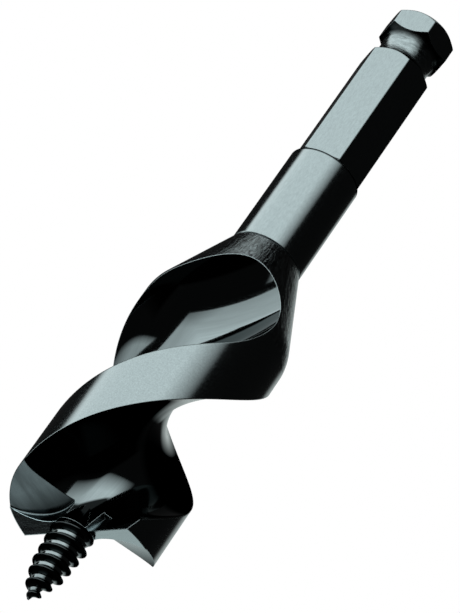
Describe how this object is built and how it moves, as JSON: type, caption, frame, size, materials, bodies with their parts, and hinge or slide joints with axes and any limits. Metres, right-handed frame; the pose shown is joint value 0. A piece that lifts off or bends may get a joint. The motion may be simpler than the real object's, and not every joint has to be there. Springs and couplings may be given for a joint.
{
  "type": "auger bit",
  "caption": "Short wood auger bit: hexagonal quick-change shank with ball groove, round neck, right-hand twist with chip flutes, ground cutting lips and a tapered feed screw.",
  "frame": {"origin": "centre of the flat end face of the hexagonal shank", "axes": "+Z along the axis of the bit, out of the shank's end face, so the screw point hangs down at -Z; the end of one flute faces -Y"},
  "size_m": [0.0254, 0.0254, 0.127],
  "materials": {
    "shank_steel": "black oxide over fine-ground steel, satin",
    "body_steel": "black oxide over ground and polished steel",
    "screw_steel": "black oxide over rolled thread"
  },
  "bodies": {
    "root": {"hex_shank": "shank_steel", "auger_body": "body_steel", "feed_screw": "screw_steel"}
  },
  "joints": []
}
